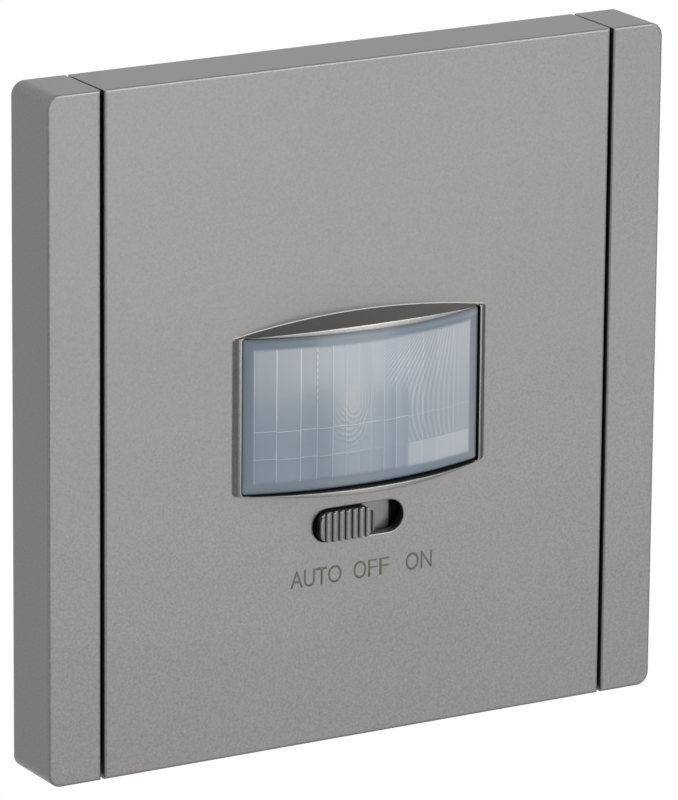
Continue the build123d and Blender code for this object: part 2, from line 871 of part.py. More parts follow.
def board_resistors():
    """Rows of small resistors on the back of the sensor board."""
    group = Part()
    for column in resistor_column_shares:
        for row in resistor_row_shares:
            x, z = on_board((column, row))
            outline = Pos(x, z) * Rectangle(resistor_length, resistor_width)
            group += prism(outline, sensor_board_back, sensor_board_back + resistor_height)
    return group


def board_capacitors():
    """Two small round capacitors on the back of the sensor board."""
    group = Part()
    for shares in small_capacitor_place_shares:
        x, z = on_board(shares)
        end = sensor_board_back + small_capacitor_height
        group += bar(x, z, small_capacitor_radius, head_sides, sensor_board_back, end)
    return group


def board_link():
    """Row of pins between the two boards, with a spacer at each end."""
    z = link_place_share * board_half_height
    length = link_pin_pitch * link_pin_count
    spacer = Pos(0, z) * Rectangle(length, link_spacer_width)
    body = prism(spacer, sensor_board_back, sensor_board_back + link_spacer_height)
    body += prism(spacer, power_board_front - link_spacer_height, power_board_front)
    for x in row_places(link_pin_pitch, link_pin_count):
        pin = Pos(x, z) * centred(link_pin_half_width, link_pin_half_width)
        body += prism(pin, sensor_board_back, power_board_front)
    return body


def terminal_cages():
    """Brass cages, each bored for a wire from below and tapped for a screw from behind."""
    group = Part()
    top = terminal_bottom_z + terminal_length
    for x in row_places(terminal_pitch, terminal_count):
        outline = Pos(x, terminal_middle_z) * Rectangle(terminal_width, terminal_length)
        cage = prism(outline, power_board_back, terminal_back)
        cage -= upright_rod(
            x, wire_y, wire_radius, terminal_bottom_z - cut_overrun, top + cut_overrun
        )
        tapped = terminal_screw_radius + shaft_gap
        cage -= bar(
            x, terminal_middle_z, tapped, hidden_sides, wire_y, terminal_back + cut_overrun
        )
        group += cage
    return group


def terminal_screws():
    """Clamping screws of the terminals, backed off so that a wire can enter."""
    group = Part()
    length = terminal_back - wire_y - wire_radius - shaft_gap
    for x in row_places(terminal_pitch, terminal_count):
        group += inner_screw(
            x, terminal_middle_z, terminal_screw_head_radius, terminal_screw_head_height,
            terminal_screw_radius, terminal_back, length,
        )
    return group


def boxed_part(shares, width, length, height, corner):
    """Rectangular component on the back of the power board, with rounded edges."""
    x, z = on_board(shares)
    outline = Pos(x, z) * Rectangle(width, length)
    body = prism(outline, power_board_back, power_board_back + height)
    return chamfer(body.faces().sort_by(Axis.Y)[-1].outer_wire().edges(), corner)


def smoothing_capacitor():
    """Upright round capacitor with the rolled groove near its base."""
    x, z = on_board(smoothing_capacitor_place_shares)
    end = power_board_back + smoothing_capacitor_height
    radius = smoothing_capacitor_radius
    groove = smoothing_capacitor_groove
    groove_front = power_board_back + 3 * groove
    body = bar(x, z, radius, drum_sides, power_board_back, groove_front)
    body += bar(x, z, radius - groove, drum_sides, power_board_back, end)
    return body + bar(x, z, radius, drum_sides, groove_front + 2 * groove, end)


def varistor():
    """Upright disc on two leads."""
    x, z = on_board(varistor_place_shares)
    middle_y = power_board_back + varistor_rise + varistor_radius
    disc = upright_rod(x, middle_y, varistor_radius, z - varistor_wall / 2, z + varistor_wall / 2)
    for side in (-1, 1):
        place = x + side * varistor_lead_spacing / 2
        lead = Pos(place, z) * centred(varistor_lead_half_width, varistor_lead_half_width)
        disc += prism(lead, power_board_back, middle_y)
    return disc


def fuse():
    """Round fuse standing on the power board."""
    x, z = on_board(fuse_place_shares)
    end = power_board_back + fuse_height
    return bar(x, z, fuse_radius, drum_sides, power_board_back, end)


def choke():
    """Drum of a choke: two flanges and the winding between them."""
    x, z = on_board(choke_place_shares)
    end = power_board_back + choke_height
    body = bar(x, z, choke_radius, drum_sides, power_board_back, power_board_back + choke_flange)
    body += bar(x, z, choke_radius, drum_sides, end - choke_flange, end)
    core_radius = choke_radius * choke_core_share
    return body + bar(x, z, core_radius, drum_sides, power_board_back, end)


def power_resistors():
    """Two film resistors lying on the power board, with their bent leads."""
    group = Part()
    for row in power_resistor_row_shares:
        x, z = on_board((power_resistor_column_share, row))
        axis_height = power_resistor_radius
        axis_y = power_board_back + axis_height
        half = power_resistor_length / 2
        reach = half + power_resistor_lead_length
        start = Plane.YZ.offset(x - half) * Pos(axis_y, z) * Circle(power_resistor_radius)
        body = extrude(start, amount=power_resistor_length)
        outer = between(-reach, reach, -axis_height, power_resistor_lead_width / 2)
        inner_reach = reach - power_resistor_lead_width
        inner = between(-inner_reach, inner_reach, -axis_height, -power_resistor_lead_width / 2)
        lead = Plane.XY.offset(z - power_resistor_lead_width / 2) * Pos(x, axis_y)
        lead *= Location((0, 0, 0), (0, 0, 180)) * (outer - inner)
        body += extrude(lead, amount=power_resistor_lead_width)
        group += body
    return group


def rectifier():
    """Flat bridge rectifier."""
    x, z = on_board(rectifier_place_shares)
    outline = Pos(x, z) * Rectangle(rectifier_length, rectifier_width)
    return prism(outline, power_board_back, power_board_back + rectifier_height)


time_place, level_place, range_place = dial_places()

pieces = {
    "support_frame": support_frame(),
    "left_side_strip": side_strip(-1),
    "right_side_strip": side_strip(1),
    "front_panel": front_panel(),
    "fixing_screws": fixing_screws(),
    "fresnel_lens": lens(),
    "mode_knob": mode_knob(),
    "switch_lever": switch_lever(),
    "slide_switch_can": slide_switch_can(),
    "slide_switch_base": slide_switch_base(),
    "slide_switch_tails": slide_switch_tails(),
    "module_cover": module_cover(),
    "rear_housing": rear_housing(),
    "housing_screws": housing_screws(),
    "sensor_board": sensor_board(),
    "heat_sensor_can": heat_sensor_can(),
    "heat_sensor_window": heat_sensor_window(),
    "heat_sensor_leads": heat_sensor_leads(),
    "status_lamp": round_lamp(lamp_x),
    "light_sensor": round_lamp(-lamp_x),
    "time_dial": dial(time_place),
    "light_level_dial": dial(level_place),
    "range_dial": dial(range_place),
    "time_trimmer": trimmer(time_place),
    "light_level_trimmer": trimmer(level_place),
    "range_trimmer": trimmer(range_place),
    "controller_chip": chip(
        controller_place_shares, controller_length, controller_width,
        controller_height, controller_leg_count,
    ),
    "amplifier_chip": chip(
        amplifier_place_shares, amplifier_length, amplifier_width,
        controller_height, amplifier_leg_count,
    ),
    "sensor_board_resistors": board_resistors(),
    "sensor_board_capacitors": board_capacitors(),
    "board_link": board_link(),
    "power_board": power_board(),
    "relay": boxed_part(
        relay_place_shares, relay_width, relay_length, relay_height, relay_corner
    ),
    "smoothing_capacitor": smoothing_capacitor(),
    "film_capacitor": boxed_part(
        film_capacitor_place_shares, film_capacitor_length, film_capacitor_width,
        film_capacitor_height, film_capacitor_corner,
    ),
    "varistor": varistor(),
    "fuse": fuse(),
    "choke": choke(),
    "rectifier": rectifier(),
    "power_resistors": power_resistors(),
    "terminal_cages": terminal_cages(),
    "terminal_screws": terminal_screws(),
}

os.makedirs("parts", exist_ok=True)
for name, piece in pieces.items():
    export_step(piece, f"parts/{name}.step")
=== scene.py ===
import json
import math
import bpy
import bmesh
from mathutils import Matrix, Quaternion, Vector


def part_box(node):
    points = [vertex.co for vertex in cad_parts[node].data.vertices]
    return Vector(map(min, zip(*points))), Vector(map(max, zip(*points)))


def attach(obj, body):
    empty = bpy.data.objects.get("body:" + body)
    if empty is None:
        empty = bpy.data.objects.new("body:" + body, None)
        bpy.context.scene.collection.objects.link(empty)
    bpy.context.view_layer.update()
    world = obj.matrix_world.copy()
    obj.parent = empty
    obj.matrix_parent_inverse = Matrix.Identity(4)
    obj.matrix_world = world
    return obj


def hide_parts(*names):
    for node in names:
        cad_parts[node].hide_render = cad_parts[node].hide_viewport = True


# Motion sensor light switch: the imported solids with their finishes, the lens with its fields and
# rings, the words, and the stage, lamps and camera of the photograph

# Lengths are in millimetres up to the moment that a mesh or object is made, which is in metres.
MM = 0.001

# Camera of the photograph, worked out from the plate's edges
camera_place = (-429.6, -740.3, 239.9)
camera_aim = (-3.03, -9.6, 0.62)
camera_roll_degrees = 0.525
camera_lens_mm = 309.7
sensor_width_mm = 36.0

# Cover, as in the solids
plate_half_size = 45.0
plate_depth = 9.6
cover_wall = 1.5
bezel_centre_z = 0.3
bezel_proud = 4.6
bezel_side_proud = 0.45
bezel_rim_half_width = 18.0
bezel_rim_width = 0.35
window_half_height = 10.45

# Lens, as in its solid: how far it lies back from the bezel, its corners and its flange
lens_side_recess = 0.3
lens_middle_recess = 1.05
lens_corner = 0.5
lens_flange_depth = 1.0
lens_flange_overlap = 1.0
lens_proud = bezel_proud - lens_middle_recess
lens_rise = lens_proud - (bezel_side_proud - lens_side_recess)
lens_radius = (bezel_rim_half_width ** 2 + lens_rise ** 2) / (2 * lens_rise)

# Gap between the lens and its window, its rounded edge, and how far its lower edge is raised:
# evenly, and then more at the right end and less at the left
lens_gap = 0.15
lens_half_width = bezel_rim_half_width - bezel_rim_width - lens_gap
lens_half_height = window_half_height - lens_gap
lens_edge_radius = 0.32
lens_low_lift = 0.02
lens_low_tilt = 0.1

# Fields of the lens, from the middle of the bezel: upright borders from the left, their number
# on the left of the middle, the top, the bottom and the borders between rows, and the step down
# to the border round them all
column_borders = (
    -15.95, -13.22, -10.1, -7.93, -5.78, -3.92, -2.08, -0.28,
    1.62, 3.52, 5.43, 7.7, 10.12, 12.98, 15.8,
)
middle_column = 8
field_top = 8.6
field_bottom = -8.8
row_borders = (-2.1, -5.75)
border_step = 0.07
border_step_width = 0.5

# Fine lines on the borders: the upright ones by where their kinds end, from left to right, with
# one that is broken high up, and each line across with its strength on the left, what it loses,
# and from where to where
line_half_width = 0.09
line_height = 0.04
line_across_share = 0.7
left_lines_end = -5.0
left_line_strength = 0.85
left_line_change = 0.15
left_line_rate = 0.9
broken_line = 3
broken_line_start = 1.0
broken_line_strength = 0.55
broken_line_rate = 7.0
middle_lines_end = 1.0
middle_line_strength = 0.3
ring_lines_end = 5.0
ring_line_strength = 0.75
ring_line_fade = (4.5, 1.0)
right_line_strength = 0.22
row_line_fades = ((0.85, 0.65, (4.0, 7.0)), (0.7, 0.6, (-6.0, 0.0)))
row_line_step = 0.09

# Grid of the lens's mesh: its pitch, and the closer places near its edges and about its lines
grid_pitch = 0.13
grid_least_pitch = 0.02
grid_edge_gaps = (0.02, 0.06, 0.12, 0.2, 0.3, 0.42, 0.55)
grid_line_offsets = (-0.09, -0.05, 0.0, 0.05, 0.09)

# Rings on the right of the lens, which start further left the higher they are, and stay off the
# lowest row. In the columns beside the middle they show only higher up.
ring_pitch = 0.86
ring_depth = 0.03
ring_trough = 0.4
ring_clearance = 0.3
ring_middle_z = -1.2
ring_bend_left = 0.25
ring_bend_fall = 0.018
ring_start = (1.2, 4.5)
ring_start_lean = 0.35
ring_start_height = 2.0
ring_end = (14.6, 12.2)
ring_faint_columns = 3
ring_faint_reach = (1.0, 4.0)
ring_floor = (row_borders[1] - 0.1, row_borders[1] + 0.5)

# Swirl of rings left of the middle, with its centre moved a little in each column and row. It
# fades in from its eye, and out at its rim, its slanting top, its bottom and its left side.
swirl_x = -2.9
swirl_z = 1.4
swirl_squeeze = 0.58
swirl_pitch = 0.42
swirl_column_drift = 0.13
swirl_row_drift = (0.5, 1.6)
swirl_shift_x = 0.3
swirl_rate_x = 2.3
swirl_shift_z = 0.6
swirl_rate_z = 1.7
swirl_start_z = 1.0
swirl_eye = (0.5, 1.1)
swirl_rim = (3.2, 2.4)
swirl_top = (2.4, 0.4)
swirl_top_slope = 0.5
swirl_bottom = (-5.9, -5.0)
swirl_left_strength = 0.45
swirl_left_reach = (-1.5, 1.5)
swirl_row_loss = 0.5
swirl_corner = (-3.5, -4.5)

# Tones of the fields: the level low on the left and what it gains to the right and upwards, the
# darker shade across some columns on the left, the change from column to column, the darker
# columns beside the middle, and the lighter and darker parts of the lowest row
field_level = 0.42
field_gain_across = 0.115
field_reach_across = (-15.0, 9.0)
field_gain_up = 0.27
field_gain_up_right_loss = 0.5
field_reach_up = (-4.5, 7.5)
shade_depth = 0.14
shade_x = -7.4
shade_width = 2.7
shade_reach = (5.0, 0.5)
column_change = 0.025
column_rate = 2.1
column_start = 0.6
side_columns = 3
side_column_depth = 0.09
side_column_slope = 0.12
side_column_reach = (4.0, 0.0)
low_row_light = 0.15
low_row_light_reach = (5.0, 5.8)
low_row_dark = 0.03
low_row_dark_reach = (5.0, 4.0)
ring_tone = 0.16
line_tone = 0.48
field_edge = (-0.35, 0.15)

# Tones of the lens's border: its level, darker to the right, lighter away from the edge, with painted
# light low down and a painted highlight band along its top that fades out on the left
border_level = 0.13
border_loss_right = 0.03
border_reach_right = (0.0, 17.0)
border_gain_inside = 0.06
border_reach_inside = (0.2, 0.9)
# Painted light on the lower border
border_low_painted_light = 0.02
border_reach_low = (-8.0, -9.5)
# Painted highlight band along the lens's top edge
top_highlight_gain = 0.1
band_start = (0.5, 0.8)
band_end = (1.3, 0.95)
band_reach = (-16.0, -8.0)
flange_tone = 0.05

# Warmth of the lens: a glow about the swirl, lilac in the upper left, and the right side
glow_width = 1.9
glow_height = 3.4
glow_drop = 0.6
lilac_warmth = 0.25
lilac_reach_left = (-4.0, -9.0)
lilac_reach_up = (0.0, 5.0)
right_warmth = 0.35
right_warmth_reach = (4.0, 10.0)
border_warmth = 0.8
border_warmth_reach = (14.0, 16.5)
border_warmth_edge = (-0.2, 0.3)

# Lacquer of the cover: colours of its body, its painted edge highlight and the near-black painted
# shade on the bare plastic inside, the painted shade on its bezel's sides and carrier and the
# painted highlight on its rim, its grain, and how deep it reaches into the slot and the grooves
cover_dark = (0.156, 0.154, 0.150)
cover_light = (0.220, 0.217, 0.212)
# Painted highlight along the cover's edges
cover_edge_highlight = (0.3, 0.295, 0.285)
# Bare dark plastic inside the slot and grooves, painted near-black for the shade there
cover_inside_shade = (0.006, 0.006, 0.006)
# Painted shade on the bezel's sloping sides
bezel_side_shade = (0.62, 0.615, 0.605)
# Painted highlight on the bezel's rim, stronger at the top
bezel_rim_highlight = (1.62, 1.6, 1.56)
cover_roughness = (0.34, 0.44)
cover_grain_strength = 0.35
cover_grain_depth = 0.02
# Painted shade on the carrier seen through the slot
carrier_shade = (0.76, 0.75, 0.74)
lacquer_depth = 0.25

# What stands out from the cover, and how far the bezel reaches down. Its rim faces the front more
# squarely than its sides do.
proud_least = 0.02
bezel_reach = 13.0
rim_least_facing = 0.87

# Slide: the middle of its slot and the room it has, the margin that tells its carrier from the
# panel's wall, and the ribs of its knob at rest
slide_centre_z = -15.9
slide_reach_x = 11.0
slide_reach_z = 3.0
carrier_margin = 0.05
knob_centre_x = -2.2
knob_rib_pitch = 0.98
knob_rib_width = 0.5

# Painted shade and painted highlight on a rib and the groove on its right, by the share of the pitch,
# and its warm tint
rib_light_levels = ((0.0, 0.5), (0.2, 0.66), (0.42, 1.25), (0.5, 1.3), (0.58, 1.15), (1.0, 1.15))
rib_warmth = (1.0, 0.985, 0.97)

# Part of a grain's mask over which a colour or a roughness changes, and how strong a grain is on
# the plain finishes
mask_low = 0.3
mask_high = 0.7
grain_strength = 0.5

# Plain finishes by slot: dark and light colour, least and most roughness, depth of the grain in
# millimetres, its scale as a texture, and how metallic the finish is
plain_finishes = {
    "frame_grey": ((0.09, 0.09, 0.095), (0.13, 0.13, 0.135), (0.5, 0.65), 0.02, 2500.0, 0.0),
    "housing_grey": ((0.44, 0.44, 0.43), (0.52, 0.52, 0.505), (0.45, 0.6), 0.02, 2500.0, 0.0),
    "cover_black": ((0.012, 0.012, 0.014), (0.02, 0.02, 0.022), (0.45, 0.6), 0.015, 3000.0, 0.0),
    "dial_white": ((0.6, 0.6, 0.57), (0.7, 0.7, 0.66), (0.3, 0.4), 0.006, 2500.0, 0.0),
    "zinc_steel": ((0.5, 0.5, 0.5), (0.64, 0.64, 0.62), (0.25, 0.42), 0.01, 1500.0, 1.0),
    "sensor_steel": ((0.58, 0.57, 0.53), (0.68, 0.67, 0.63), (0.2, 0.32), 0.004, 1500.0, 1.0),
    "terminal_brass": ((0.5, 0.36, 0.14), (0.66, 0.5, 0.23), (0.25, 0.4), 0.008, 1500.0, 1.0),
    "chip_black": ((0.01, 0.01, 0.011), (0.022, 0.022, 0.024), (0.5, 0.7), 0.008, 6000.0, 0.0),
    "tinned_metal": ((0.55, 0.55, 0.54), (0.7, 0.7, 0.68), (0.2, 0.35), 0.006, 2000.0, 1.0),
    "relay_blue": ((0.01, 0.03, 0.13), (0.018, 0.045, 0.18), (0.35, 0.5), 0.006, 2500.0, 0.0),
    "film_yellow": ((0.58, 0.36, 0.02), (0.68, 0.44, 0.035), (0.3, 0.42), 0.006, 2000.0, 0.0),
    "sleeve_dark": ((0.006, 0.008, 0.018), (0.012, 0.014, 0.03), (0.2, 0.32), 0.004, 1500.0, 0.0),
    "varistor_blue": ((0.01, 0.06, 0.26), (0.02, 0.09, 0.34), (0.25, 0.4), 0.015, 1200.0, 0.0),
    "fuse_brown": ((0.045, 0.018, 0.008), (0.07, 0.028, 0.012), (0.35, 0.5), 0.006, 2500.0, 0.0),
    "ferrite": ((0.02, 0.02, 0.022), (0.04, 0.04, 0.042), (0.45, 0.6), 0.02, 2500.0, 0.0),
    "resistor_beige": ((0.48, 0.32, 0.15), (0.56, 0.4, 0.2), (0.25, 0.4), 0.006, 2500.0, 0.0),
    "filter_dark": ((0.012, 0.012, 0.016), (0.02, 0.02, 0.026), (0.1, 0.2), 0.002, 2500.0, 0.0),
    "lamp_red": ((0.5, 0.02, 0.015), (0.6, 0.035, 0.025), (0.1, 0.2), 0.002, 2500.0, 0.0),
    "lamp_clear": ((0.6, 0.64, 0.68), (0.7, 0.74, 0.77), (0.1, 0.2), 0.002, 2500.0, 0.0),
}

# Board: its solder mask in two greens and the gaps between its tracks
board_colours = {
    "Color1": (0.012, 0.12, 0.045, 1.0),
    "Color2": (0.016, 0.16, 0.06, 1.0),
    "Mortar": (0.03, 0.25, 0.09, 1.0),
}
board_roughness = (0.25, 0.4)

# Share of cloudiness in the lens's tones, its roughness, and its shades from its border to its
# lightest field, cool and warm
lens_cloud_share = 0.08
lens_roughness = (0.28, 0.38)
lens_cool_shades = (
    (0.04, 0.06, 0.09),
    (0.13, 0.165, 0.205),
    (0.195, 0.24, 0.28),
    (0.315, 0.35, 0.385),
    (0.52, 0.545, 0.56),
)
lens_warm_shades = (
    (0.045, 0.055, 0.075),
    (0.17, 0.18, 0.205),
    (0.265, 0.27, 0.29),
    (0.375, 0.375, 0.38),
    (0.54, 0.545, 0.54),
)

# Words below the slide: the letters of each, set between their left and right ends, how far round
# letters pass the line, and how far the font's outlines are thickened, or thinned where letters
# are drawn wide
words = {
    "auto": (("AUTO", -9.99, -2.39),),
    "off": (("O", -0.63, 1.30), ("F", 1.56, 2.95), ("F", 3.24, 4.73)),
    "on": (("ON", 7.2, 11.13),),
}
word_baseline = -23.68
word_cap_height = 2.27
word_overshoot = 0.04
word_stroke_gain = 0.004
word_wide_letters = ("F",)
word_wide_gain = -0.008
word_curve_steps = 6
word_thickness = 0.02
word_proud = 0.012

# Soft square lamps in metres and watts: a large one from the upper right in front, and a smaller
# one lower down, each with its place, width and power
lamps = {
    "key": ((0.5, -0.95, 0.55), 0.9, 9.6),
    "low_front": ((0.43, -0.95, -0.39), 0.5, 3.65),
}
floor_half_size = 4.0
floor_z = -0.3


def metres(*values):
    """Vector in metres from lengths in millimetres."""
    return Vector(values) * MM


def new_object(name, data):
    """Object for a mesh, curve, lamp or camera, linked to the scene."""
    made = bpy.data.objects.new(name, data)
    bpy.context.scene.collection.objects.link(made)
    return made


def mesh_from(mesh_data, name):
    """Mesh from finished mesh data, which is freed."""
    mesh = bpy.data.meshes.new(name)
    mesh_data.to_mesh(mesh)
    mesh_data.free()
    return mesh


# Node groups and materials


def group_with(name, inputs, outputs):
    """Empty shader node group with the named sockets."""
    group = bpy.data.node_groups.new(name, "ShaderNodeTree")
    for label, kind, value in inputs:
        socket = group.interface.new_socket(label, in_out="INPUT", socket_type=kind)
        if value is not None:
            socket.default_value = value
    for label, kind in outputs:
        group.interface.new_socket(label, in_out="OUTPUT", socket_type=kind)
    return group


def node(tree, kind, **settings):
    """New node with its settings, and its inputs set by index through the inputs setting."""
    made = tree.nodes.new(kind)
    values = settings.pop("inputs", {})
    for key, value in settings.items():
        setattr(made, key, value)
    for key, value in values.items():
        made.inputs[key].default_value = value
    return made


def link(tree, source, target):
    """Joins two sockets."""
    tree.links.new(source, target)


def moulded_grain_group():
    """Fine speckle of a sprayed or eroded surface over slow cloudiness, as a mask and a height."""
    group = group_with(
        "moulded_grain",
        [
            ("Grain Size", "NodeSocketFloat", 6000.0),
            ("Cloud Size", "NodeSocketFloat", 45.0),
            ("Cloud Share", "NodeSocketFloat", 0.3),
        ],
        [("Mask", "NodeSocketFloat"), ("Height", "NodeSocketFloat")],
    )
    inlet = node(group, "NodeGroupInput")
    outlet = node(group, "NodeGroupOutput")
    place = node(group, "ShaderNodeTexCoord")
    fine = node(group, "ShaderNodeTexNoise", inputs={"Detail": 2.0, "Roughness": 0.6})
    cloud = node(group, "ShaderNodeTexNoise", inputs={"Detail": 3.0, "Roughness": 0.55})
    blend = node(group, "ShaderNodeMix", data_type="FLOAT")
    link(group, place.outputs["Object"], fine.inputs["Vector"])
    link(group, place.outputs["Object"], cloud.inputs["Vector"])
    link(group, inlet.outputs["Grain Size"], fine.inputs["Scale"])
    link(group, inlet.outputs["Cloud Size"], cloud.inputs["Scale"])
    link(group, inlet.outputs["Cloud Share"], blend.inputs["Factor"])
    link(group, fine.outputs["Fac"], blend.inputs["A"])
    link(group, cloud.outputs["Fac"], blend.inputs["B"])
    link(group, blend.outputs["Result"], outlet.inputs["Mask"])
    link(group, fine.outputs["Fac"], outlet.inputs["Height"])
    return group


def softened_edge_group():
    """Normal that rounds edges over a small distance, and a mask that is high on them, which carries a
    painted edge highlight.
    """
    group = group_with(
        "softened_edge",
        [("Reach", "NodeSocketFloat", 0.0003)],
        [("Normal", "NodeSocketVector"), ("Mask", "NodeSocketFloat")],
    )
    inlet = node(group, "NodeGroupInput")
    outlet = node(group, "NodeGroupOutput")
    rounded = node(group, "ShaderNodeBevel", samples=8)
    shape = node(group, "ShaderNodeNewGeometry")
    match = node(group, "ShaderNodeVectorMath", operation="DOT_PRODUCT")
    spread = node(group, "ShaderNodeMapRange", inputs={
        "From Min": 0.995, "From Max": 0.8, "To Min": 0.0, "To Max": 1.0,
    })
    link(group, inlet.outputs["Reach"], rounded.inputs["Radius"])
    link(group, rounded.outputs["Normal"], match.inputs[0])
    link(group, shape.outputs["Normal"], match.inputs[1])
    link(group, match.outputs["Value"], spread.inputs["Value"])
    link(group, rounded.outputs["Normal"], outlet.inputs["Normal"])
    link(group, spread.outputs["Result"], outlet.inputs["Mask"])
    return group


def new_material(name, **constants):
    """Material with a Principled shader whose constant sockets are set, and its parts."""
    material = bpy.data.materials.new(name)
    material.use_nodes = True
    tree = material.node_tree
    shader = tree.nodes["Principled BSDF"]
    for label, value in constants.items():
        shader.inputs[label.replace("_", " ")].default_value = value
    return material, tree, shader


def use_group(tree, group, **values):
    """Node group placed in a material with its own values."""
    made = node(tree, "ShaderNodeGroup", node_tree=group)
    for label, value in values.items():
        made.inputs[label.replace("_", " ")].default_value = value
    return made


def colour_ramp(tree, factor, stops):
    """Colour by a factor, from stops that each have a place and a colour."""
    ramp = node(tree, "ShaderNodeValToRGB")
    elements = ramp.color_ramp.elements
    for element, (place, colour) in zip(elements, (stops[0], stops[-1])):
        element.position = place
        element.color = (*colour, 1.0)
    for place, colour in stops[1:-1]:
        elements.new(place).color = (*colour, 1.0)
    link(tree, factor, ramp.inputs["Fac"])
    return ramp.outputs["Color"]


def colour_from(tree, mask, dark, light):
    """Colour from dark to light by a grain's mask."""
    return colour_ramp(tree, mask, ((mask_low, dark), (mask_high, light)))


def range_from(tree, mask, low, high):
    """Plain value that follows a mask from low to high."""
    spread = node(
        tree, "ShaderNodeMapRange",
        inputs={"From Min": mask_low, "From Max": mask_high, "To Min": low, "To Max": high},
    )
    link(tree, mask, spread.inputs["Value"])
    return spread.outputs["Result"]


def add_bump(tree, shader, height, strength, depth_mm, normal=None):
    """Bump of the given depth on a shader's normal."""
    bump = node(tree, "ShaderNodeBump", inputs={"Strength": strength, "Distance": depth_mm * MM})
    link(tree, height, bump.inputs["Height"])
    if normal is not None:
        link(tree, normal, bump.inputs["Normal"])
    link(tree, bump.outputs["Normal"], shader.inputs["Normal"])


def grained(name, grain, dark, light, roughness, bump_mm, grain_size, cloud_share=0.3, **constants):
    """Material of a moulded, sprayed or cast surface with fine grain."""
    material, tree, shader = new_material(name, **constants)
    texture = use_group(tree, grain, Grain_Size=grain_size, Cloud_Share=cloud_share)
    mask = texture.outputs["Mask"]
    link(tree, colour_from(tree, mask, dark, light), shader.inputs["Base Color"])
    link(tree, range_from(tree, mask, *roughness), shader.inputs["Roughness"])
    add_bump(tree, shader, texture.outputs["Height"], grain_strength, bump_mm)
    return material


def compared(tree, value, operation, limit):
    """1 where a value is past a limit."""
    made = node(tree, "ShaderNodeMath", operation=operation, inputs={1: limit})
    link(tree, value, made.inputs[0])
    return made.outputs["Value"]


def joined(tree, operation, first, second):
    """Two values joined by a Math node."""
    made = node(tree, "ShaderNodeMath", operation=operation)
    link(tree, first, made.inputs[0])
    link(tree, second, made.inputs[1])
    return made.outputs["Value"]


def separated(tree, source):
    """X, Y and Z of a vector."""
    parts = node(tree, "ShaderNodeSeparateXYZ")
    link(tree, source, parts.inputs["Vector"])
    return parts.outputs


def unshaded_lacquer_mask(tree, place):
    """Mask of the lacquered faces: 0 on the walls of the slot and grooves just behind the front, where
    the bare dark plastic gets near-black painted shade.
    """
    front = node(tree, "ShaderNodeMapRange", inputs={
        "From Min": -(plate_depth - lacquer_depth) * MM,
        "From Max": -(plate_depth - 2 * lacquer_depth) * MM,
        "To Min": 1.0, "To Max": 0.0,
    })
    link(tree, place["Y"], front.inputs["Value"])
    behind_wall = -(plate_depth - cover_wall - lacquer_depth / 2) * MM
    behind = compared(tree, place["Y"], "GREATER_THAN", behind_wall)
    mask = joined(tree, "MAXIMUM", front.outputs["Result"], behind)
    for axis in ("X", "Z"):
        size = node(tree, "ShaderNodeMath", operation="ABSOLUTE")
        link(tree, place[axis], size.inputs[0])
        edge = (plate_half_size - cover_wall / 2) * MM
        outside = compared(tree, size.outputs["Value"], "GREATER_THAN", edge)
        mask = joined(tree, "MAXIMUM", outside, mask)
    return mask


def proud_mask(tree, place):
    """1 on what stands out from the cover's front."""
    return compared(tree, place["Y"], "LESS_THAN", -(plate_depth + proud_least) * MM)


def rib_painted_light(tree, across):
    """Painted light on the knob: painted shade on the left of each rib and in its groove, painted
    highlight on its right.
    """
    pitch = knob_rib_pitch * MM
    left_edge = (knob_centre_x - knob_rib_width / 2) * MM
    count = node(tree, "ShaderNodeMath", operation="MULTIPLY_ADD", inputs={
        1: 1 / pitch, 2: -left_edge / pitch,
    })
    share = node(tree, "ShaderNodeMath", operation="FRACT")
    link(tree, across, count.inputs[0])
    link(tree, count.outputs["Value"], share.inputs[0])
    stops = [(place, [level * part for part in rib_warmth]) for place, level in rib_light_levels]
    return colour_ramp(tree, share.outputs["Value"], stops)


def slide_masks(tree, place, proud):
    """Masks of the knob's ribs and of the carrier seen through the slot."""
    sides = []
    for axis, middle, reach in (("X", 0.0, slide_reach_x), ("Z", slide_centre_z, slide_reach_z)):
        within = node(tree, "ShaderNodeMath", operation="COMPARE", inputs={
            1: middle * MM, 2: reach * MM,
        })
        link(tree, place[axis], within.inputs[0])
        sides.append(within.outputs["Value"])
    slot = joined(tree, "MULTIPLY", *sides)
    carrier_front = -(plate_depth - cover_wall + carrier_margin) * MM
    behind = compared(tree, place["Y"], "GREATER_THAN", carrier_front)
    return joined(tree, "MULTIPLY", slot, proud), joined(tree, "MULTIPLY", slot, behind)


def bezel_masks(tree, place, facing, proud):
    """Masks of the bezel's sloping sides, for their painted shade, and of its narrow rim in front, for
    its painted highlight, which fades downwards.
    """
    above_slide = compared(tree, place["Z"], "GREATER_THAN", (bezel_centre_z - bezel_reach) * MM)
    front = compared(tree, facing["Y"], "LESS_THAN", -rim_least_facing)
    bezel = joined(tree, "MULTIPLY", proud, above_slide)
    rim = joined(tree, "MULTIPLY", bezel, front)
    rim_highlight_fall = node(tree, "ShaderNodeMapRange", inputs={
        "From Min": (bezel_centre_z - window_half_height) * MM,
        "From Max": (bezel_centre_z + window_half_height) * MM,
        "To Min": 0.0, "To Max": 1.0,
    })
    link(tree, place["Z"], rim_highlight_fall.inputs["Value"])
    side = joined(tree, "SUBTRACT", bezel, rim)
    return side, joined(tree, "MULTIPLY", rim, rim_highlight_fall.outputs["Result"])


def tinted(tree, colour, mask, tint):
    """Colour multiplied, where a mask is high, by a fixed tint or by one that varies."""
    made = node(tree, "ShaderNodeMix", data_type="RGBA", blend_type="MULTIPLY")
    if isinstance(tint, tuple):
        made.inputs["B"].default_value = (*tint, 1.0)
    else:
        link(tree, tint, made.inputs["B"])
    link(tree, mask, made.inputs["Factor"])
    link(tree, colour, made.inputs["A"])
    return made.outputs["Result"]


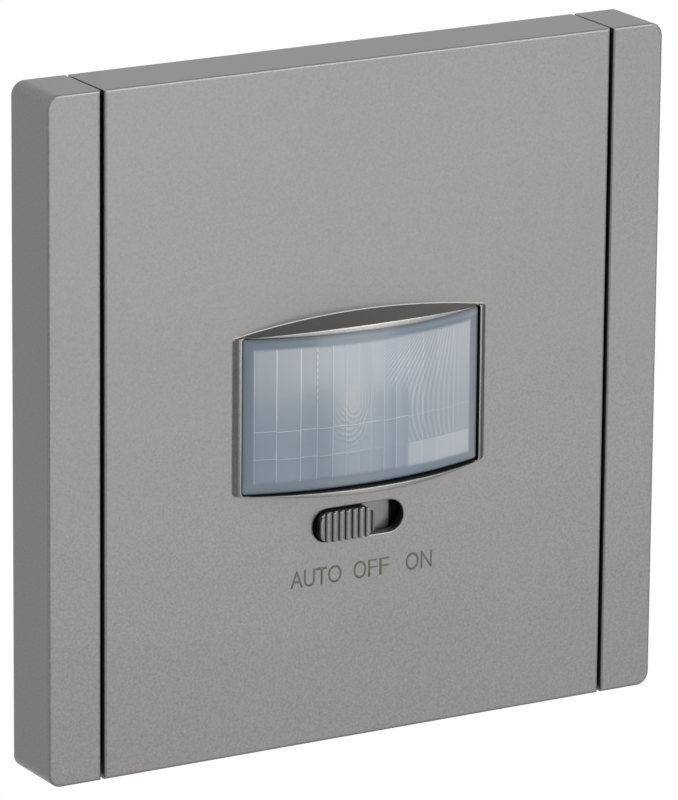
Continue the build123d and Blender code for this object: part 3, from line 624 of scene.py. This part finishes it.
def make_cover_finish(grain, softened):
    """Warm grey metallic lacquer over dark plastic, with fine sparkle; painted highlights on its
    edges, bezel rim and ribs, and painted shade on the bezel's sides, the carrier, the ribs and the
    plastic in the slot.
    """
    material, tree, shader = new_material("satin_metallic_lacquer")
    texture = use_group(tree, grain, Grain_Size=3200.0, Cloud_Size=28.0, Cloud_Share=0.22)
    mask = texture.outputs["Mask"]
    body = colour_from(tree, mask, cover_dark, cover_light)
    edges = use_group(tree, softened)
    # Painted highlight along the edges, by the softened edges' mask
    edge_highlighted = node(tree, "ShaderNodeMix", data_type="RGBA")
    edge_highlighted.inputs["B"].default_value = (*cover_edge_highlight, 1.0)
    link(tree, edges.outputs["Mask"], edge_highlighted.inputs["Factor"])
    link(tree, body, edge_highlighted.inputs["A"])
    surface = node(tree, "ShaderNodeTexCoord")
    place = separated(tree, surface.outputs["Object"])
    facing = separated(tree, surface.outputs["Normal"])
    proud = proud_mask(tree, place)
    side, rim = bezel_masks(tree, place, facing, proud)
    knob, carrier = slide_masks(tree, place, proud)
    # Painted shade on the bezel's sides, then a painted highlight on its rim
    lacquer_and_painted_light = tinted(tree, edge_highlighted.outputs["Result"], side, bezel_side_shade)
    lacquer_and_painted_light = tinted(tree, lacquer_and_painted_light, rim, bezel_rim_highlight)
    # Painted shade on the carrier seen through the slot
    lacquer_and_painted_light = tinted(tree, lacquer_and_painted_light, carrier, carrier_shade)
    # Painted shade and painted highlight across the knob's ribs
    lacquer_and_painted_light = tinted(tree, lacquer_and_painted_light, knob, rib_painted_light(tree, place["X"]))
    # Near-black painted shade on the walls of the slot and grooves behind the lacquered front
    outside = unshaded_lacquer_mask(tree, place)
    lacquer_and_slot_shade = node(tree, "ShaderNodeMix", data_type="RGBA")
    lacquer_and_slot_shade.inputs["A"].default_value = (*cover_inside_shade, 1.0)
    link(tree, outside, lacquer_and_slot_shade.inputs["Factor"])
    link(tree, lacquer_and_painted_light, lacquer_and_slot_shade.inputs["B"])
    link(tree, lacquer_and_slot_shade.outputs["Result"], shader.inputs["Base Color"])
    link(tree, outside, shader.inputs["Metallic"])
    link(tree, range_from(tree, mask, *cover_roughness), shader.inputs["Roughness"])
    add_bump(
        tree, shader, texture.outputs["Height"], cover_grain_strength, cover_grain_depth,
        edges.outputs["Normal"],
    )
    return material


def make_lens_finish(grain):
    """Milky lens: dark and blue where its border backs on the seat, light over the fields."""
    material, tree, shader = new_material(
        "milky_moulding", IOR=1.5, Coat_Weight=0.3, Coat_Roughness=0.1,
    )
    tone = node(tree, "ShaderNodeAttribute", attribute_name="field_tone")
    warmth = node(tree, "ShaderNodeAttribute", attribute_name="field_warmth")
    texture = use_group(tree, grain, Grain_Size=900.0, Cloud_Size=160.0, Cloud_Share=0.7)
    cloudy = node(tree, "ShaderNodeMix", data_type="FLOAT")
    cloudy.inputs["Factor"].default_value = lens_cloud_share
    link(tree, tone.outputs["Fac"], cloudy.inputs["A"])
    link(tree, texture.outputs["Mask"], cloudy.inputs["B"])
    colours = []
    for shades in (lens_cool_shades, lens_warm_shades):
        stops = [(number / (len(shades) - 1), shade) for number, shade in enumerate(shades)]
        colours.append(colour_ramp(tree, cloudy.outputs["Result"], stops))
    blend = node(tree, "ShaderNodeMix", data_type="RGBA")
    link(tree, warmth.outputs["Fac"], blend.inputs["Factor"])
    link(tree, colours[0], blend.inputs["A"])
    link(tree, colours[1], blend.inputs["B"])
    link(tree, blend.outputs["Result"], shader.inputs["Base Color"])
    link(tree, range_from(tree, texture.outputs["Mask"], *lens_roughness), shader.inputs["Roughness"])
    return material


def make_ink(grain):
    """Printed brownish grey ink."""
    return grained(
        "printed_ink", grain, (0.085, 0.078, 0.062), (0.125, 0.115, 0.092), (0.5, 0.65), 0.004, 5000.0
    )


def make_board(grain):
    """Green solder mask over faint copper tracks."""
    material, tree, shader = new_material("solder_mask", Coat_Weight=0.4, Coat_Roughness=0.2)
    place = node(tree, "ShaderNodeTexCoord")
    tracks = node(tree, "ShaderNodeTexBrick", inputs={
        "Scale": 260.0, "Mortar Size": 0.09, "Brick Width": 0.9, "Row Height": 0.35, **board_colours,
    })
    turn = node(tree, "ShaderNodeMapping")
    turn.inputs["Rotation"].default_value = (math.pi / 2, 0.0, 0.0)
    link(tree, place.outputs["Object"], turn.inputs["Vector"])
    link(tree, turn.outputs["Vector"], tracks.inputs["Vector"])
    link(tree, tracks.outputs["Color"], shader.inputs["Base Color"])
    texture = use_group(tree, grain, Grain_Size=3000.0)
    link(tree, range_from(tree, texture.outputs["Mask"], *board_roughness), shader.inputs["Roughness"])
    return material


def make_materials():
    """All finishes by the name of their slot."""
    grain = moulded_grain_group()
    softened = softened_edge_group()
    made = {
        name: grained(name, grain, dark, light, rough, bump, size, Metallic=metal)
        for name, (dark, light, rough, bump, size, metal) in plain_finishes.items()
    }
    made["satin_grey"] = make_cover_finish(grain, softened)
    made["milky_lens"] = make_lens_finish(grain)
    made["board_green"] = make_board(grain)
    made["ink"] = make_ink(grain)
    return made


def dress_solids(frame, materials):
    """Gives each solid of the frame the finish of its slot."""
    for subpart in frame["record"]["subparts"]:
        solid = frame["nodes"][subpart["node"]]
        solid.data.materials.clear()
        solid.data.materials.append(materials[subpart["material_slot"]])


# Lens


def crown_y(x):
    """Where the lens's crown lies in front, at x."""
    return lens_radius - plate_depth - lens_proud - math.sqrt(lens_radius ** 2 - x ** 2)


def corner_height(x):
    """Half height of the lens at x, with its rounded corners."""
    into_corner = abs(x) - (lens_half_width - lens_corner)
    if into_corner <= 0:
        return lens_half_height
    return lens_half_height - lens_corner + math.sqrt(max(lens_corner ** 2 - into_corner ** 2, 0.0))


def smooth(low, high, value):
    """Smooth step from 0 at low to 1 at high."""
    share = min(max((value - low) / (high - low), 0.0), 1.0)
    return share * share * (3 - 2 * share)


def column_of(x):
    """Number of the column that x lies in, counted outwards from 1, negative on the left."""
    number = sum(x > border for border in column_borders) - middle_column
    return number if number < 0 else number + 1


def row_of(z):
    """Number of the row that z lies in, from the top."""
    return sum(z < border for border in row_borders)


def line_profile(distance):
    """Share of a fine line's full strength at a distance from its middle."""
    share = min(abs(distance) / line_half_width, 1.0)
    return (1 - share * share) ** 2


def inside_fields(x, z):
    """How far x and z lie inside the outline of the fields, negative outside it."""
    side = min(x - column_borders[0], column_borders[-1] - x)
    return min(side, field_top - z, z - field_bottom)


def column_strength(border, z):
    """Strength of one upright line at a height: one of the strong ones on the left is broken."""
    if border < left_lines_end:
        strength = left_line_strength + left_line_change * math.sin(left_line_rate * z - border)
        if border == column_borders[broken_line] and z > broken_line_start:
            gap = (1 - broken_line_strength) * math.sin(broken_line_rate * z)
            strength *= broken_line_strength + gap
        return strength
    if border < middle_lines_end:
        return middle_line_strength
    if border < ring_lines_end:
        return ring_line_strength * smooth(*ring_line_fade, z)
    return right_line_strength


def column_line(x, z):
    """Strength of the upright lines at x and z."""
    near = [border for border in column_borders if abs(x - border) < line_half_width]
    return max((line_profile(x - border) * column_strength(border, z) for border in near), default=0.0)


def row_line(x, z):
    """Strength of the lines across, which fade to the right and step a little at each column."""
    step = row_line_step * ((column_of(x) % 2) - 0.5)
    return max(
        line_profile(z - border - step) * (strength - loss * smooth(*reach, x))
        for border, (strength, loss, reach) in zip(row_borders, row_line_fades)
    )


def right_rings(x, z):
    """Phase and strength of the rings on the right, flatter towards the side."""
    height = z - ring_middle_z
    bend = max(ring_bend_left - ring_bend_fall * x, 0.0)
    phase = (x - bend * height ** 2 / 2) / ring_pitch
    lean = ring_start_lean * max(z - ring_start_height, 0.0)
    strength = smooth(*ring_start, x + lean) * smooth(*ring_end, x) * smooth(*ring_floor, z)
    if column_of(x) <= ring_faint_columns:
        strength *= smooth(*ring_faint_reach, z)
    return phase, strength


def swirl_rings(x, z):
    """Phase and strength of the swirl left of the middle."""
    column, row = column_of(x), row_of(z)
    drift_x, drift_z = swirl_row_drift
    centre_x = swirl_x + swirl_column_drift * column - drift_x * row
    centre_x += swirl_shift_x * math.sin(swirl_rate_x * column)
    centre_z = swirl_z - drift_z * row
    centre_z += swirl_shift_z * math.sin(swirl_rate_z * column + swirl_start_z)
    away = math.hypot(x - centre_x, swirl_squeeze * (z - centre_z))
    strength = smooth(*swirl_eye, away) * smooth(*swirl_rim, away)
    strength *= smooth(*swirl_top, z - swirl_top_slope * (x - swirl_x)) * smooth(*swirl_bottom, z)
    right = smooth(*swirl_left_reach, x - centre_x)
    strength *= swirl_left_strength + (1 - swirl_left_strength) * right
    return away / swirl_pitch, strength * (1 - swirl_row_loss * row * smooth(*swirl_corner, x))


def ring_wave(x, z):
    """Sum of both families of rings: each line is a narrow crest between wide troughs."""
    total = 0.0
    for phase, strength in (right_rings(x, z), swirl_rings(x, z)):
        if strength > 0:
            crest = 0.5 + 0.5 * math.cos(2 * math.pi * phase)
            total += strength * (crest ** 2 - ring_trough)
    return total


def lens_relief(x, z):
    """Height of the lens's front above its crown, at x and z."""
    inside = inside_fields(x, z)
    height = -border_step * smooth(border_step_width / 2, -border_step_width / 2, inside)
    if inside <= 0:
        return height
    height += ring_depth * ring_wave(x, z) * smooth(0.0, ring_clearance, inside)
    return height + line_height * max(column_line(x, z), line_across_share * row_line(x, z))


def field_base(x, z):
    """Lightness of a field without its lines: dark and cool low on the left, light on the right."""
    column, row = column_of(x), row_of(z)
    across = smooth(*field_reach_across, x)
    up = smooth(*field_reach_up, z) * (1 - field_gain_up_right_loss * across)
    base = field_level + field_gain_across * across + field_gain_up * up
    base -= shade_depth * math.exp(-((x - shade_x) / shade_width) ** 2) * smooth(*shade_reach, z)
    base += column_change * math.sin(column_rate * column + column_start)
    if 1 <= column <= side_columns:
        left, right = column_borders[middle_column + column - 2:middle_column + column]
        within = (x - left) / (right - left)
        slope = side_column_slope * (0.5 - within)
        base += (slope - side_column_depth) * smooth(*side_column_reach, z)
    if row == len(row_borders):
        base += low_row_light * smooth(*low_row_light_reach, x)
        base -= low_row_dark * smooth(*low_row_dark_reach, x)
    return base


def border_tone(x, z):
    """Lightness of the border round the fields, with painted light low down and a painted highlight
    band along the top.
    """
    edge_gap = min(lens_half_height - abs(z), lens_half_width - abs(x))
    from_top = lens_half_height - z
    top_highlight = smooth(*band_start, from_top) * smooth(*band_end, from_top) * smooth(*band_reach, x)
    tone = border_level - border_loss_right * smooth(*border_reach_right, x)
    tone += border_gain_inside * smooth(*border_reach_inside, edge_gap)
    return tone + border_low_painted_light * smooth(*border_reach_low, z) + top_highlight_gain * top_highlight


def field_tone(x, z):
    """Lightness of the lens at x and z, from 0 at its border to 1 in its lightest field."""
    border = border_tone(x, z)
    field = field_base(x, z) + ring_tone * ring_wave(x, z)
    field += line_tone * max(column_line(x, z), row_line(x, z))
    return border + (field - border) * smooth(*field_edge, inside_fields(x, z))


def field_warmth(x, z):
    """How far the lens turns from cool to warm at x and z."""
    glow_z = swirl_z - glow_drop
    glow = math.exp(-((x - swirl_x) / glow_width) ** 2 - ((z - glow_z) / glow_height) ** 2)
    lilac = lilac_warmth * smooth(*lilac_reach_left, x) * smooth(*lilac_reach_up, z)
    right = right_warmth * smooth(*right_warmth_reach, x)
    border = border_warmth * smooth(*border_warmth_reach, x)
    field = max(glow, lilac, right)
    return border + (field - border) * smooth(*border_warmth_edge, inside_fields(x, z))


def spread_between(start, end, extra):
    """Rising list of places from start to end at the grid's pitch, with extra places added."""
    count = max(int(round((end - start) / grid_pitch)), 1)
    places = [start + (end - start) * number / count for number in range(count + 1)]
    places += [place for place in extra if start < place < end]
    places.sort()
    kept = [places[0]]
    for place in places[1:]:
        if place - kept[-1] > grid_least_pitch:
            kept.append(place)
    kept[-1] = end
    return kept


def edge_drop(distance):
    """How far the rounded outer edge falls back at a distance from the outline."""
    if distance >= lens_edge_radius:
        return 0.0
    inner = lens_edge_radius - max(distance, 0.0)
    return lens_edge_radius - math.sqrt(lens_edge_radius ** 2 - inner ** 2)


def lens_grid():
    """Columns and rows of the lens's mesh, closer together at its edges and lines."""
    extra_x = [side * (lens_half_width - gap) for gap in grid_edge_gaps for side in (-1, 1)]
    extra_x += [border + off for border in column_borders for off in grid_line_offsets]
    extra_z = [side * (lens_half_height - gap) for gap in grid_edge_gaps for side in (-1, 1)]
    extra_z += [border + off for border in row_borders for off in grid_line_offsets]
    columns = spread_between(-lens_half_width, lens_half_width, extra_x)
    return columns, spread_between(-lens_half_height, lens_half_height, extra_z)


def lens_point(x, row):
    """Place in front of the lens for a column and a row of its grid."""
    top = corner_height(x)
    straight = lens_half_height - lens_corner
    z = row
    if abs(row) > straight:
        beyond = (abs(row) - straight) * (top - straight) / lens_corner
        z = math.copysign(straight + beyond, row)
    fall = edge_drop(min(top - abs(z), lens_half_width - abs(x)))
    y = crown_y(x) - lens_relief(x, z) + fall
    low_share = max(-z / lens_half_height, 0.0)
    return x, y, z + low_share * (lens_low_lift + lens_low_tilt * x / lens_half_width)


def lens_front(mesh_data, tone, warmth):
    """Front of the lens with its tones, and the vertices of its outline once round."""
    columns, rows = lens_grid()
    grid = []
    for column in columns:
        line = []
        for row in rows:
            x, y, z = lens_point(column, row)
            vert = mesh_data.verts.new(metres(x, y, z + bezel_centre_z))
            vert[tone] = field_tone(x, z)
            vert[warmth] = field_warmth(x, z)
            line.append(vert)
        grid.append(line)
    for left, right in zip(grid[:-1], grid[1:]):
        for number in range(len(left) - 1):
            mesh_data.faces.new((left[number], right[number], right[number + 1], left[number + 1]))
    bottom_and_right = [line[0] for line in grid] + grid[-1][1:]
    return bottom_and_right + [line[-1] for line in reversed(grid[:-1])] + grid[0][-2:0:-1]


def lens_flange(mesh_data, tone, rim, back):
    """Side wall of the lens behind its outline, with the flange that its seat holds."""

    def ring_at(y, grow):
        made = []
        for vert in rim:
            x = vert.co.x / MM * (1 + grow / lens_half_width)
            z = (vert.co.z / MM - bezel_centre_z) * (1 + grow / lens_half_height)
            made_vert = mesh_data.verts.new(metres(x, y, z + bezel_centre_z))
            made_vert[tone] = flange_tone
            made.append(made_vert)
        return made

    foot = back - lens_flange_depth
    grow = lens_gap + lens_flange_overlap
    loops = [rim, ring_at(foot, 0.0), ring_at(foot, grow), ring_at(back, grow)]
    for front, behind in zip(loops[:-1], loops[1:]):
        for number in range(len(rim)):
            following = (number + 1) % len(rim)
            mesh_data.faces.new((front[number], front[following], behind[following], behind[number]))
    mesh_data.faces.new(list(reversed(loops[-1])))


def make_lens(finish, back):
    """Milky window with its border, fields, lines and rings in the mesh, and its flange behind."""
    mesh_data = bmesh.new()
    tone = mesh_data.verts.layers.float.new("field_tone")
    warmth = mesh_data.verts.layers.float.new("field_warmth")
    rim = lens_front(mesh_data, tone, warmth)
    lens_flange(mesh_data, tone, rim, back)
    bmesh.ops.recalc_face_normals(mesh_data, faces=mesh_data.faces)
    mesh = mesh_from(mesh_data, "segmented_lens")
    mesh.polygons.foreach_set("use_smooth", [True] * len(mesh.polygons))
    mesh.materials.append(finish)
    lens = new_object("segmented_lens", mesh)
    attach(lens, "switch")
    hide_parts("fresnel_lens")


# Words


def letters_mesh(text, left, right, gain):
    """Flat mesh of a few letters, fitted between two ends on the front of the panel."""
    curve = bpy.data.curves.new("letters", "FONT")
    curve.body = text
    curve.resolution_u = word_curve_steps
    curve.offset = gain
    source = new_object("letters", curve)
    graph = bpy.context.evaluated_depsgraph_get()
    mesh = bpy.data.meshes.new_from_object(source.evaluated_get(graph))
    bpy.data.objects.remove(source)
    across = [vert.co.x for vert in mesh.vertices]
    upward = [vert.co.y for vert in mesh.vertices]
    overshoot = word_overshoot if "O" in text else 0.0
    low = word_baseline - overshoot
    height = word_cap_height + 2 * overshoot
    for vert in mesh.vertices:
        x = left + (right - left) * (vert.co.x - min(across)) / (max(across) - min(across))
        z = low + height * (vert.co.y - min(upward)) / (max(upward) - min(upward))
        vert.co = metres(x, -plate_depth - word_proud, z)
    return mesh


def thicken(mesh_data, depth):
    """Closes a flat mesh: its faces once more at a depth behind, and walls along its outlines."""
    faces = mesh_data.faces[:]
    outlines = [edge.verts[:] for edge in mesh_data.edges if edge.is_boundary]
    back = {vert: mesh_data.verts.new(vert.co + metres(0, depth, 0)) for vert in mesh_data.verts[:]}
    for face in faces:
        mesh_data.faces.new([back[vert] for vert in reversed(face.verts)])
    for first, second in outlines:
        mesh_data.faces.new((first, second, back[second], back[first]))


def make_word(name, letters, ink):
    """Printed word as thin sheets of ink, riding on the front cover."""
    mesh_data = bmesh.new()
    for text, left, right in letters:
        gain = word_wide_gain if text in word_wide_letters else word_stroke_gain
        part = letters_mesh(text, left, right, gain)
        mesh_data.from_mesh(part)
        bpy.data.meshes.remove(part)
    thicken(mesh_data, word_thickness)
    bmesh.ops.recalc_face_normals(mesh_data, faces=mesh_data.faces)
    mesh = mesh_from(mesh_data, "word_" + name)
    mesh.materials.append(ink)
    word = new_object("word_" + name, mesh)
    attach(word, "front_cover")


# Stage, light and camera


def seen_ray(tree):
    """1 for rays that see the background: from the camera, in gloss and through clear pieces."""
    ray = node(tree, "ShaderNodeLightPath")
    gloss = node(tree, "ShaderNodeMath", operation="MAXIMUM")
    clear = node(tree, "ShaderNodeMath", operation="MAXIMUM")
    link(tree, ray.outputs["Is Camera Ray"], gloss.inputs[0])
    link(tree, ray.outputs["Is Glossy Ray"], gloss.inputs[1])
    link(tree, gloss.outputs["Value"], clear.inputs[0])
    link(tree, ray.outputs["Is Transmission Ray"], clear.inputs[1])
    return clear.outputs["Value"]


def make_white_stage():
    """White floor well below the switch, which shows white to the camera and keeps shadows."""
    mesh_data = bmesh.new()
    bmesh.ops.create_grid(mesh_data, x_segments=1, y_segments=1, size=floor_half_size)
    mesh = mesh_from(mesh_data, "floor")
    floor = new_object("floor", mesh)
    floor.location = (0.0, 0.0, floor_z)
    material = bpy.data.materials.new("white_floor")
    material.use_nodes = True
    tree = material.node_tree
    tree.nodes.clear()
    output = node(tree, "ShaderNodeOutputMaterial")
    matte = node(tree, "ShaderNodeBsdfDiffuse", inputs={"Color": (0.8, 0.8, 0.8, 1.0)})
    white = node(tree, "ShaderNodeEmission", inputs={"Strength": 1.0})
    mix = node(tree, "ShaderNodeMixShader")
    link(tree, seen_ray(tree), mix.inputs["Fac"])
    link(tree, matte.outputs["BSDF"], mix.inputs[1])
    link(tree, white.outputs["Emission"], mix.inputs[2])
    link(tree, mix.outputs["Shader"], output.inputs["Surface"])
    mesh.materials.append(material)


def make_world():
    """White to the camera, and a softer grey light on the switch."""
    world = bpy.data.worlds.new("studio")
    bpy.context.scene.world = world
    world.use_nodes = True
    tree = world.node_tree
    tree.nodes.clear()
    output = node(tree, "ShaderNodeOutputWorld")
    room = node(tree, "ShaderNodeBackground", inputs={"Color": (0.62, 0.62, 0.63, 1.0)})
    white = node(tree, "ShaderNodeBackground", inputs={"Color": (1.0, 1.0, 1.0, 1.0)})
    mix = node(tree, "ShaderNodeMixShader")
    link(tree, seen_ray(tree), mix.inputs["Fac"])
    link(tree, room.outputs["Background"], mix.inputs[1])
    link(tree, white.outputs["Background"], mix.inputs[2])
    link(tree, mix.outputs["Shader"], output.inputs["Surface"])


def make_lamp(name, place, size, power):
    """Soft square lamp at a place in metres, turned to the middle of the switch."""
    data = bpy.data.lights.new(name, "AREA")
    data.shape = "SQUARE"
    data.size = size
    data.energy = power
    lamp = new_object(name, data)
    lamp.location = place
    lamp.rotation_mode = "QUATERNION"
    lamp.rotation_quaternion = (-Vector(place)).to_track_quat("-Z", "Y")


def make_camera():
    """Camera of the photograph."""
    data = bpy.data.cameras.new("camera")
    data.sensor_width = sensor_width_mm
    data.lens = camera_lens_mm
    data.clip_start = 0.01
    data.clip_end = 20.0
    camera = new_object("camera", data)
    place, aim = metres(*camera_place), metres(*camera_aim)
    camera.location = place
    camera.rotation_mode = "QUATERNION"
    look = (aim - place).to_track_quat("-Z", "Y")
    roll = Quaternion((0, 0, 1), math.radians(camera_roll_degrees))
    camera.rotation_quaternion = look @ roll
    bpy.context.scene.camera = camera


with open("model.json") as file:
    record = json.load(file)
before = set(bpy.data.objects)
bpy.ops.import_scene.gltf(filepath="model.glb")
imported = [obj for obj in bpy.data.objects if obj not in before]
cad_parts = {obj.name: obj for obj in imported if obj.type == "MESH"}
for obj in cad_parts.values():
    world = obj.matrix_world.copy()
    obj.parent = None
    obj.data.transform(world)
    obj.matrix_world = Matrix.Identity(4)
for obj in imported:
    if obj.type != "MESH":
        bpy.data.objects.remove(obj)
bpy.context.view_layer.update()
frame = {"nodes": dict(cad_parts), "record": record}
bpy.context.scene.view_settings.view_transform = "Standard"
materials = make_materials()
dress_solids(frame, materials)
make_lens(materials["milky_lens"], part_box("fresnel_lens")[1].y / MM)
for name, letters in words.items():
    make_word(name, letters, materials["ink"])
make_white_stage()
make_world()
for name, (place, size, power) in lamps.items():
    make_lamp(name, place, size, power)
make_camera()
